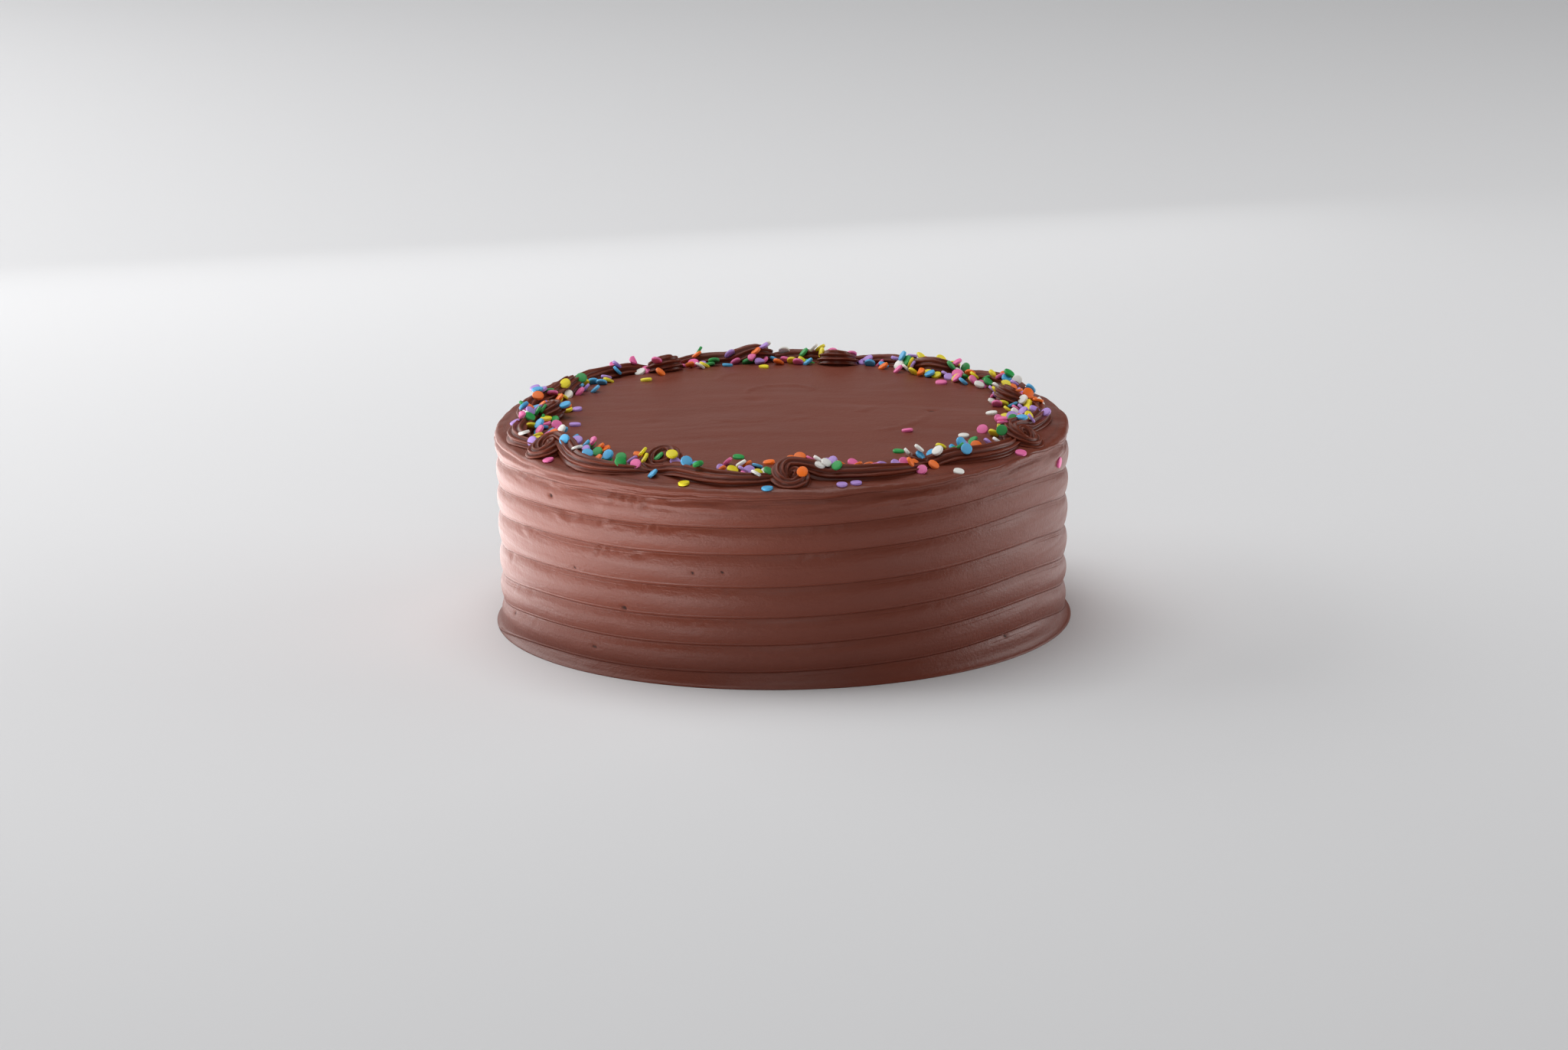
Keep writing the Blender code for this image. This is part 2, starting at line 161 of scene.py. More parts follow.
STRAYS = (
    (-30.6, 87.9, "white"), (-34.9, 63.8, "pink"), (-2.9, 88.5, "white"), (-102.8, 80.7, "green"),
    (-110.0, 117.2, "yellow"), (-93.5, 88.0, "orange"), (-56.0, 86.0, "green"),
    (-52.0, 117.4, "white"), (-33.0, 117.6, "pink"), (-93.0, 118.0, "blue"),
    (-78.0, 116.6, "lilac"), (-75.0, 116.0, "lilac"), (172.0, 87.5, "lilac"),
    (-170.0, 88.0, "lilac"), (38.0, 87.0, "pink"), (95.0, 87.5, "yellow"), (131.0, 88.5, "yellow"),
    (-146.0, 116.5, "pink"),
)
WALL_STRAYS = ((-17.0, 73.5, "pink"), (64.0, 70.0, "lilac"))
SPRINKLE_COLOURS = {
    "pink": (0.86, 0.155, 0.40),
    "orange": (0.93, 0.17, 0.004),
    "yellow": (0.86, 0.72, 0.008),
    "green": (0.020, 0.33, 0.065),
    "blue": (0.085, 0.44, 0.78),
    "lilac": (0.46, 0.27, 0.70),
    "white": (0.86, 0.84, 0.79),
}
SPRINKLE_SHARES = (
    ("pink", 20), ("orange", 15), ("yellow", 14), ("green", 14), ("blue", 13), ("lilac", 14), ("white", 13),
)
TRIES = 60
BROKEN_SHARE = 0.06
PILE_RISE = 1.15 * SPRINKLE_THICKNESS
PILE_SPACING = 0.7 * SPRINKLE_SPACING

# Floor
FLOOR_REACH = 5.5
FLOOR_RISE = 0.75


def around(values, degrees):
    """A smooth value round the cake from values spaced evenly from the left round the front."""
    place = ((degrees - LEFT_ANGLE) / 360.0 % 1.0) * len(values)
    first = int(place)
    s = place - first
    before, here, there, after = (values[(first + k) % len(values)] for k in (-1, 0, 1, 2))
    rise = (there - before) / 2.0
    next_rise = (after - here) / 2.0
    bend = 3.0 * (there - here) - 2.0 * rise - next_rise
    turn = rise + next_rise - 2.0 * (there - here)
    return here + s * (rise + s * (bend + s * turn))


def smooth(low, high, value):
    """0 below low, 1 above high, and an even ease between."""
    s = min(1.0, max(0.0, (value - low) / (high - low)))
    return s * s * (3.0 - 2.0 * s)


def bump(middle, spread, value):
    """1 at the middle, falling evenly to 0 at spread on both sides."""
    s = min(1.0, abs(value - middle) / spread)
    return 1.0 - s * s * (3.0 - 2.0 * s)


def ripple(x, y, z):
    """Smooth noise from -1 to 1."""
    return noise.noise(Vector((x + 3.37 * z, y + 5.71 * z, z + 0.43)))


def top_height(radius):
    """Height of the iced top at a distance from the middle."""
    if radius < INNER_RADIUS:
        return CENTRE_HEIGHT - (CENTRE_HEIGHT - INNER_HEIGHT) * (radius / INNER_RADIUS) ** 2
    s = (radius - INNER_RADIUS) / (LIP_RADIUS - INNER_RADIUS)
    return INNER_HEIGHT - (INNER_HEIGHT - LIP_HEIGHT) * (0.75 * s + 0.25 * s * s)


def side_radius(height):
    """Radius of the side without its bands."""
    if height < FOOT_HEIGHT:
        s = 1.0 - height / FOOT_HEIGHT
        return WAIST_RADIUS + (FOOT_RADIUS - WAIST_RADIUS) * s ** 2.2
    return WAIST_RADIUS + SIDE_LEAN * (height - FOOT_HEIGHT) / (COLLAR_HEIGHT - FOOT_HEIGHT)


def band_place(degrees, height):
    """Which band a height lies in, and how far up it, as one number that rises with height."""
    level = height / MM - around(GROOVE_BOW, degrees)
    for number, (low, high) in enumerate(zip(GROOVE_HEIGHTS, GROOVE_HEIGHTS[1:])):
        if level < high:
            return number + (level - low) / (high - low), high - low
    return len(GROOVE_HEIGHTS) - 1.0, 1.0


def side_relief(degrees, height):
    """How far the icing stands out from the plain side, in mm."""
    place, width = band_place(degrees, height)
    share = place - math.floor(place)
    arc = math.radians(degrees) * WAIST_RADIUS / MM
    off = (share - BAND_PEAK) / (1.0 - BAND_PEAK if share > BAND_PEAK else BAND_PEAK)
    bulge = BAND_BULGE * (1.0 - abs(off) ** BAND_ROUNDNESS)
    below = (1.0 - share) * width
    number = math.floor(place)
    strength = FOLD_LEAST + (1.0 - FOLD_LEAST) * bump(FOLD_ANGLE, FOLD_SPREAD, degrees)
    strength *= smooth(-0.25, 0.45, ripple(arc * 0.045, number * 7.3, 5.0))
    strength *= 0.35 + smooth(-0.3, 0.3, ripple(arc * 0.13, number * 2.9, 7.0))
    reach = FOLD_REACH * (0.9 + 0.9 * ripple(arc * 0.09, number * 3.1, 6.0))
    zone = smooth(0.0, 0.7, below) * (1.0 - smooth(0.35 * reach, reach, below))
    phase = arc / FOLD_SPACING + FOLD_SLANT * below + 2.2 * ripple(arc * 0.055, number * 4.7, 3.0)
    fold = smooth(0.0, 0.72, phase % 1.0) * (1.0 - smooth(0.72, 1.0, phase % 1.0))
    relief = bulge + FOLD_DEPTH * zone * strength * (fold - 0.45)
    relief += 0.25 * ripple(arc * 0.035, height / MM * 0.09, 1.0)
    relief += 0.07 * ripple(arc * 0.2, height / MM * 0.5, 2.0)
    for angle, level, size, depth in DENTS:
        relief -= depth * bump(0.0, size, dent_distance(degrees, height, angle, level))
    return relief


def dent_distance(degrees, height, angle, level):
    """How far a point of the side is from a dent, in mm; dents are wider than they are high."""
    across = math.radians((degrees - angle + 180.0) % 360.0 - 180.0) * WAIST_RADIUS / MM
    return math.hypot(across / 1.3, height / MM - level)


def hole_share(x, y, height):
    """1 inside a small air hole, 0 away from them all."""
    if height > LIP_HEIGHT:
        return max(
            bump(0.0, size, math.hypot(x / MM - u, y / MM - v))
            for u, v, size, _ in TOP_DENTS
            if size < HOLE_SIZE
        )
    degrees = math.degrees(math.atan2(y, x))
    return max(
        bump(0.0, size, dent_distance(degrees, height, angle, level))
        for angle, level, size, _ in DENTS
        if size < HOLE_SIZE
    )


def collar_relief(degrees, height):
    """The rougher strip under the lip, in mm."""
    arc = math.radians(degrees) * WAIST_RADIUS / MM
    slope = height / MM - 0.05 * arc
    streaks = ripple(arc * 0.035, slope * 0.55, 8.0) + 0.6 * ripple(arc * 0.11, slope * 1.1, 9.0)
    return COLLAR_ROUGHNESS * streaks


def top_relief(x, y):
    """Strokes and dips that the knife left on the top, in mm."""
    u, v = x / MM, y / MM
    relief = 0.30 * ripple(u * 0.018, v * 0.03, 11.0)
    sway = 14.0 * ripple(u * 0.012, v * 0.02, 14.0)
    relief += 0.34 * ripple(u * 0.022, (v + sway) * 0.075, 12.0)
    relief += 0.11 * ripple(u * 0.04, (v + sway) * 0.19, 13.0)
    for across, along, size, depth in TOP_DENTS:
        away = math.hypot(u - across, v - along)
        if away < size:
            relief -= depth * bump(0.0, size, away)
    for across, along, radius, start, end, depth in TOP_ARCS:
        off = math.hypot(u - across, v - along) - radius
        if abs(off) < ARC_WIDTH:
            angle = math.degrees(math.atan2(v - along, u - across)) % 360.0
            if start < angle < end:
                fade = smooth(start, start + 20.0, angle) * (1.0 - smooth(end - 20.0, end, angle))
                relief += depth * fade * bump(0.0, ARC_WIDTH, off)
    return relief


def body_profile():
    """Radius and height of the cake's outline, from the middle of the top to the middle of the foot."""
    profile = [(0.0, CENTRE_HEIGHT)]
    for ring in range(1, TOP_RINGS + 1):
        s = ring / TOP_RINGS
        radius = LIP_RADIUS * (0.75 * s + 0.25 * (1.0 - (1.0 - s) ** 2))
        profile.append((radius, top_height(radius)))
    for degrees in (70.0, 48.0, 26.0, 8.0):
        turn = math.radians(degrees)
        reach = COLLAR_RADIUS - LIP_RADIUS
        drop = LIP_HEIGHT - COLLAR_HEIGHT
        profile.append((LIP_RADIUS + reach * math.cos(turn), COLLAR_HEIGHT + drop * math.sin(turn)))
    for ring in range(SIDE_RINGS):
        height = COLLAR_HEIGHT * (1.0 - ring / SIDE_RINGS)
        profile.append((side_radius(height), height))
    for inset, height in ((0.0, 0.3), (0.05, 0.1), (0.2, 0.0), (1.2, 0.0)):
        profile.append((FOOT_RADIUS - inset * MM, height * MM))
    profile += [(FOOT_RADIUS * 0.5, 0.0), (0.0, 0.0)]
    return profile


def shape_body_point(x, y, z):
    """Moves a point of the turned body to its place in the iced surface."""
    radius = math.hypot(x, y)
    degrees = math.degrees(math.atan2(y, x))
    lip = smooth(LIP_RADIUS - 9.0 * MM, LIP_RADIUS, radius)
    lip *= smooth(COLLAR_HEIGHT - 5.0 * MM, COLLAR_HEIGHT, z)
    upper = smooth(COLLAR_HEIGHT - 3.0 * MM, COLLAR_HEIGHT, z)
    out = 0.0
    rise = 0.0
    if radius > LIP_RADIUS - MM and z > 0.5 * MM:
        relief = side_relief(degrees, z) * smooth(0.0, FOOT_HEIGHT, z) * (1.0 - upper)
        near_lip = smooth(COLLAR_HEIGHT - 10.0 * MM, COLLAR_HEIGHT - 4.0 * MM, z)
        relief += near_lip * collar_relief(degrees, z) * (1.0 - 0.5 * lip)
        out = relief * MM
    if radius < COLLAR_RADIUS - 0.3 * MM and z > LIP_HEIGHT - MM:
        rise = top_relief(x, y) * (1.0 - 0.6 * lip) * MM
    rise += lip * LIP_ROUGHNESS * MM * ripple(x / MM * 0.07, y / MM * 0.07, 21.0)
    rise += lip * 0.5 * LIP_ROUGHNESS * MM * ripple(degrees * 0.35, radius / MM * 0.9, 22.0)
    stretch = 1.0 + out / radius if radius > 0.0 else 1.0
    return Vector((x * stretch, y * stretch, z + rise))


def spin_profile(profile, steps, wedges):
    """A bmesh turned round Z from a profile in the XZ plane, one wedge at a time."""
    work = bmesh.new()
    corners = [work.verts.new((radius, 0.0, height)) for radius, height in profile]
    edges = [work.edges.new(pair) for pair in zip(corners, corners[1:])]
    bmesh.ops.spin(
        work,
        geom=corners + edges,
        cent=(0.0, 0.0, 0.0),
        axis=(0.0, 0.0, 1.0),
        angle=math.tau / wedges,
        steps=steps // wedges,
        use_duplicate=False,
    )
    wedge = list(work.verts) + list(work.edges) + list(work.faces)
    for number in range(1, wedges):
        copied = bmesh.ops.duplicate(work, geom=wedge)["geom"]
        moved = [part for part in copied if isinstance(part, bmesh.types.BMVert)]
        turn = Matrix.Rotation(math.tau * number / wedges, 3, "Z")
        bmesh.ops.rotate(work, cent=(0.0, 0.0, 0.0), matrix=turn, verts=moved)
    bmesh.ops.remove_doubles(work, verts=work.verts, dist=0.004 * MM)
    bmesh.ops.recalc_face_normals(work, faces=work.faces)
    return work


def new_piece(name, work, node, material):
    """Makes a finished bmesh an object that rides on the cake and stands for a node."""
    mesh = bpy.data.meshes.new(name)
    work.to_mesh(mesh)
    work.free()
    mesh.shade_smooth()
    piece = bpy.data.objects.new(name, mesh)
    bpy.context.scene.collection.objects.link(piece)
    mesh.materials.append(material)
    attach(piece, MODEL_BODY)
    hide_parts(node)
    return piece


def make_body(material):
    """The iced cake."""
    work = spin_profile(body_profile(), BODY_STEPS, BODY_WEDGES)
    band = work.verts.layers.float.new("band")
    top = work.verts.layers.float.new("top")
    hole = work.verts.layers.float.new("hole")
    for vertex in work.verts:
        x, y, z = vertex.co
        # The hole share masks the painted shade and the rougher finish inside the air holes.
        vertex[hole] = hole_share(x, y, z)
        vertex[top] = smooth(COLLAR_HEIGHT, LIP_HEIGHT, z)
        if math.hypot(x, y) > LIP_RADIUS - 2.0 * MM:
            vertex[band] = band_place(math.degrees(math.atan2(y, x)), z)[0]
        else:
            vertex[band] = 0.5
        vertex.co = shape_body_point(x, y, z)
    return new_piece("iced_cake", work, BODY_NODE, material)


def curl_angles():
    """Where each curl stands, in degrees."""
    angles = [FIRST_CURL]
    for step in CURL_STEPS:
        angles.append(angles[-1] + step)
    return angles


def scroll_path(start, end, side, middle, scallop, turns, draw):
    """Points and sizes of one rope that winds out of its eye and runs to the next curl."""
    stations = []
    sweep = 360.0 * (turns + draw.uniform(-0.08, 0.08))
    wide = WRAP_RADIUS * draw.uniform(0.93, 1.07)
    slope = LOOP_SLOPE * draw.uniform(0.8, 1.1)
    for i in range(WRAP_STATIONS):
        s = i / WRAP_STATIONS
        turn = math.radians(270.0 - sweep * (1.0 - s))
        reach = EYE_RADIUS + (wide - EYE_RADIUS) * s ** 0.75
        degrees = start + math.degrees(reach * math.cos(turn) / middle)
        radius = middle + side * reach * math.sin(turn)
        lift = LOOP_LIFT - EYE_SINK * (1.0 - smooth(0.0, 0.35, s)) - slope * (radius - middle)
        size = LOOP_SIZE * (0.62 + 0.38 * smooth(0.0, 0.4, s))
        stations.append((degrees, radius, lift, size))
    leave = middle - side * wide
    for i in range(ROPE_STATIONS):
        s = i / (ROPE_STATIONS - 1)
        degrees = start + (end - start) * 0.99 * s
        swing = math.sin(math.pi * max(0.0, (s - 0.12) / 0.88)) ** 1.5
        radius = leave + (TAIL_RADIUS - leave) * smooth(0.0, 1.0, s) + scallop * swing
        fall = 1.0 - smooth(0.0, 0.28, s)
        lift = ROPE_LIFT + fall * (LOOP_LIFT - ROPE_LIFT + slope * side * wide)
        lift -= TAIL_DROP * smooth(0.45, 1.0, s)
        size = LOOP_SIZE + (1.0 - LOOP_SIZE) * smooth(0.0, 0.2, s) - 0.3 * smooth(0.55, 1.0, s)
        stations.append((degrees, radius, lift, size))
    phase = draw.uniform(0.0, 9.0)
    path = []
    for number, (degrees, radius, lift, size) in enumerate(stations):
        size *= 1.0 + 0.05 * ripple(number * 0.16, phase, 31.0)
        angle = math.radians(degrees)
        height = top_height(radius) + lift
        path.append((Vector((radius * math.cos(angle), radius * math.sin(angle), height)), size))
    return path


def star_ring(work):
    """The nozzle's outline, one unit across its half width, with a cap on it."""
    valley_shade = work.verts.layers.float.new("valley_shade")
    made = bmesh.ops.create_circle(work, cap_ends=True, radius=1.0, segments=ROPE_RIDGES * RIDGE_POINTS)
    for vertex in made["verts"]:
        angle = math.atan2(vertex.co.y, vertex.co.x)
        groove = abs(math.sin(ROPE_RIDGES * angle / 2.0)) ** RIDGE_SHARPNESS
        vertex.co *= 1.0 - RIDGE_DEPTH * groove
        # The groove depth is kept so that shade can be painted into the valleys between the ridges.
        vertex[valley_shade] = groove
    return made["verts"]


def station_frame(path, number, twist):
    """The matrix that puts the nozzle's outline at one station of a rope."""
    place, size = path[number]
    before = path[max(0, number - 1)][0]
    after = path[min(len(path) - 1, number + 1)][0]
    ahead = (after - before).normalized()
    across = ahead.cross(Vector((0.0, 0.0, 1.0))).normalized()
    up = across.cross(ahead)
    end = min(number, len(path) - 1 - number)
    size *= math.sqrt(min(1.0, (end + 0.35) / 5.0))
    turn = Matrix((across, up, ahead)).transposed().to_4x4()
    scale = Matrix.Diagonal((ROPE_HALF_WIDTH * size, ROPE_HALF_HEIGHT * size, 1.0, 1.0))
    return Matrix.Translation(place) @ turn @ scale @ Matrix.Rotation(twist, 4, "Z")


def make_scroll(path, draw):
    """One rope, extruded from the nozzle's outline, and how deep in a groove each point lies, which sets the
    painted shade in its valleys.
    """
    work = bmesh.new()
    verts = star_ring(work)
    edges = list(work.edges)
    spin = draw.uniform(0.0, math.tau / ROPE_RIDGES)
    frame_now = station_frame(path, 0, spin)
    bmesh.ops.transform(work, matrix=frame_now, verts=verts)
    for number in range(1, len(path)):
        made = bmesh.ops.extrude_edge_only(work, edges=edges)["geom"]
        verts = [part for part in made if isinstance(part, bmesh.types.BMVert)]
        fresh = set(verts)
        edges = [part for part in made if isinstance(part, bmesh.types.BMEdge)]
        edges = [edge for edge in edges if edge.verts[0] in fresh and edge.verts[1] in fresh]
        frame_next = station_frame(path, number, spin + ROPE_TWIST * number)
        bmesh.ops.transform(work, matrix=frame_next @ frame_now.inverted(), verts=verts)
        frame_now = frame_next
    bmesh.ops.contextual_create(work, geom=edges)
    bmesh.ops.recalc_face_normals(work, faces=work.faces)
    for vertex in work.verts:
        u, v, w = vertex.co / MM
        shift = 0.16 * ripple(u * 0.25, v * 0.25, w * 0.25 + 40.0)
        vertex.co += vertex.normal * shift * MM
    layer = work.verts.layers.float["valley_shade"]
    depths = [vertex[layer] for vertex in work.verts]
    work.verts.layers.float.remove(layer)
    mesh = bpy.data.meshes.new("scroll")
    work.to_mesh(mesh)
    work.free()
    return mesh, depths


def make_border(material):
    """The ring of scrolls."""
    draw = random.Random(SEED)
    work = bmesh.new()
    valley_shades = []
    angles = curl_angles()
    for index in range(len(CURL_STEPS)):
        side = 1 if index % 2 == 0 else -1
        middle = CURL_RADII[index] * MM
        scallop = SCALLOPS[index] * MM
        path = scroll_path(angles[index], angles[index + 1], side, middle, scallop, CURL_TURNS[index], draw)
        mesh, depths = make_scroll(path, draw)
        valley_shades.extend(depths)
        work.from_mesh(mesh)
        bpy.data.meshes.remove(mesh)
    piece = new_piece("piped_scrolls", work, BORDER_NODE, material)
    piece.data.attributes.new("valley_shade", "FLOAT", "POINT").data.foreach_set("value", valley_shades)
    return piece


def surface_tree(pieces):
    """A search tree over the faces of several pieces."""
    corners = []
    faces = []
    for piece in pieces:
        first = len(corners)
        corners.extend(v.co.copy() for v in piece.data.vertices)
        faces.extend([first + i for i in p.vertices] for p in piece.data.polygons)
    return BVHTree.FromPolygons(corners, faces)


def sprinkle_mesh(broken):
    """One round sugar disc with a soft rim, or a broken one."""
    work = bmesh.new()
    bmesh.ops.create_cone(
        work,
        cap_ends=True,
        segments=SPRINKLE_SIDES,
        radius1=SPRINKLE_RADIUS,
        radius2=SPRINKLE_RADIUS,
        depth=SPRINKLE_THICKNESS,
    )
    rims = [e for e in work.edges if abs(e.verts[0].co.z - e.verts[1].co.z) < 0.01 * MM]
    bmesh.ops.bevel(work, geom=rims, offset=0.36 * MM, segments=2, profile=0.5, affect="EDGES", material=-1)
    if broken:
        made = bmesh.ops.bisect_plane(
            work,
            geom=list(work.verts) + list(work.edges) + list(work.faces),
            plane_co=(0.5 * MM, 0.0, 0.0),
            plane_no=(1.0, 0.15, 0.1),
            clear_outer=True,
        )
        cut = [g for g in made["geom_cut"] if isinstance(g, bmesh.types.BMEdge)]
        bmesh.ops.edgeloop_fill(work, edges=cut)
    mesh = bpy.data.meshes.new("sprinkle")
    work.to_mesh(mesh)
    work.free()
    return mesh


def add_sprinkle(work, template, place, axis, spin, size):
    """Adds a disc to a colour's bmesh."""
    first = len(work.verts)
    work.from_mesh(template)
    work.verts.ensure_lookup_table()
    verts = work.verts[first:]
    turn = axis.to_track_quat("Z", "Y").to_matrix().to_4x4()
    matrix = Matrix.Translation(place) @ turn @ Matrix.Rotation(spin, 4, "Z") @ Matrix.Scale(size, 4)
    bmesh.ops.transform(work, matrix=matrix, verts=verts)


def on_border(radius, degrees):
    """A point well above the cake at a distance and angle round its middle."""
    angle = math.radians(degrees)
    return Vector((radius * math.cos(angle), radius * math.sin(angle), CENTRE_HEIGHT + 20.0 * MM))


def scatter(tree, draw):
    """Places, axes and colours of the sprinkles; one may lie on another, but no third on that."""
    placed = []
    upper = set()
    names = [name for name, share in SPRINKLE_SHARES for _ in range(share)]
    down = Vector((0.0, 0.0, -1.0))
    for degrees, radius, name in STRAYS:
        place, normal, _, _ = tree.ray_cast(on_border(radius * MM, degrees), down)
        lean = Vector((draw.uniform(-0.15, 0.15), draw.uniform(-0.15, 0.15), 0.0))
        placed.append((place + normal * 0.4 * MM, (normal + lean).normalized(), name))
    for degrees, height, name in WALL_STRAYS:
        outside = on_border(FOOT_RADIUS + 20.0 * MM, degrees)
        outside.z = height * MM
        place, normal, _, _ = tree.ray_cast(outside, -Vector((outside.x, outside.y, 0.0)).normalized())
        placed.append((place + normal * 0.4 * MM, normal, name))
    for middle, spread, count in HANDFULS:
        for _ in range(count):
            for _ in range(TRIES):
                degrees = draw.gauss(middle, spread)
                offset = draw.gauss(0.0, HANDFUL_WIDTH)
                outward = on_border(0.6, degrees)
                sideways = (outward.x + draw.gauss(0, 1), outward.y + draw.gauss(0, 1))
                lean = Vector((*sideways, draw.uniform(0, 0.8))).normalized()
                if abs(offset) > HANDFUL_LIMIT:
                    continue
                place, normal, _, _ = tree.ray_cast(on_border(HANDFUL_RADIUS + offset, degrees), down)
                if place is None:
                    continue
                axis = (normal + SPRINKLE_LEAN * lean).normalized()
                tilt = math.sqrt(max(0.0, 1.0 - axis.dot(normal) ** 2))
                place = place + normal * (0.35 * MM + 0.55 * tilt * SPRINKLE_RADIUS)
                near = [(place - other).length for other, _, _ in placed]
                piled = bool(near) and min(near) < SPRINKLE_SPACING
                if piled:
                    nearest = near.index(min(near))
                    below, flat, _ = placed[nearest]
                    if nearest in upper:
                        continue
                    apart = place - below
                    apart -= flat * apart.dot(flat)
                    place = below + apart + flat * PILE_RISE
                    axis = (flat + 0.25 * lean).normalized()
                    near = [(place - other).length for other, _, _ in placed]
                    if min(near) < PILE_SPACING:
                        continue
                reach = SPRINKLE_RADIUS * math.sqrt(max(0.0, 1.0 - axis.z ** 2))
                reach += SPRINKLE_THICKNESS / 2.0
                if place.z + reach > SPRINKLE_CEILING:
                    continue
                if piled:
                    upper.add(len(placed))
                placed.append((place, axis, draw.choice(names)))
                break
    return placed


def make_sprinkles(pieces, materials):
    """One piece for each colour."""
    draw = random.Random(SEED)
    whole = sprinkle_mesh(False)
    broken = sprinkle_mesh(True)
    works = {name: bmesh.new() for name in SPRINKLE_COLOURS}
    for place, axis, name in scatter(surface_tree(pieces), draw):
        template = broken if draw.random() < BROKEN_SHARE else whole
        size = draw.uniform(0.94, 1.05)
        add_sprinkle(works[name], template, place, axis, draw.uniform(0.0, math.tau), size)
    bpy.data.meshes.remove(whole)
    bpy.data.meshes.remove(broken)
    for name, work in works.items():
        new_piece("sprinkles_" + name, work, BORDER_NODE, materials[name])


def new_material(name):
    """An empty material with its shader."""
    material = bpy.data.materials.new(name)
    material.use_nodes = True
    return material, material.node_tree, material.node_tree.nodes["Principled BSDF"]


def add_node(tree, kind, **values):
    """A node with settings by attribute name and inputs by number or name."""
    node = tree.nodes.new(kind)
    inputs = values.pop("inputs", {})
    for key, value in values.items():
        setattr(node, key, value)
    for key, value in inputs.items():
        if isinstance(value, bpy.types.NodeSocket):
            tree.links.new(value, node.inputs[key])
        else:
            node.inputs[key].default_value = value
    return node


def maths(tree, operation, *values):
    """The result of one sum."""
    return add_node(tree, "ShaderNodeMath", operation=operation, inputs=dict(enumerate(values))).outputs[0]


def grain(tree, place, scale, stretch=(1.0, 1.0, 1.0), detail=2.0, rough=0.5, warp=0.0):
    """Noise on the object's own coordinates, stretched along its axes."""
    moved = add_node(tree, "ShaderNodeMapping", inputs={"Vector": place, "Scale": stretch})
    texture = add_node(
        tree,
        "ShaderNodeTexNoise",
        inputs={
            "Vector": moved.outputs[0],
            "Scale": scale,
            "Detail": detail,
            "Roughness": rough,
            "Distortion": warp,
        },
    )
    return texture.outputs["Fac"]


def remap(tree, value, low, high, new_low, new_high):
    """A value moved from one range to another and kept inside it."""
    node = add_node(
        tree,
        "ShaderNodeMapRange",
        interpolation_type="SMOOTHSTEP",
        inputs={"Value": value, 1: low, 2: high, 3: new_low, 4: new_high},
    )
    return node.outputs[0]


def blend_values(tree, share, first, second):
    """Two values mixed by a share."""
    node = add_node(tree, "ShaderNodeMix", data_type="FLOAT")
    for number, value in enumerate((share, first, second)):
        tree.links.new(value, node.inputs[(0, 2, 3)[number]])
    return node.outputs[0]


def blend_colours(tree, share, first, second):
    """Two colours mixed by a share."""
    node = add_node(tree, "ShaderNodeMix", data_type="RGBA")
    tree.links.new(share, node.inputs[0])
    for number, colour in ((6, first), (7, second)):
        if isinstance(colour, bpy.types.NodeSocket):
            tree.links.new(colour, node.inputs[number])
        else:
            node.inputs[number].default_value = (*colour, 1.0)
    return node.outputs[2]


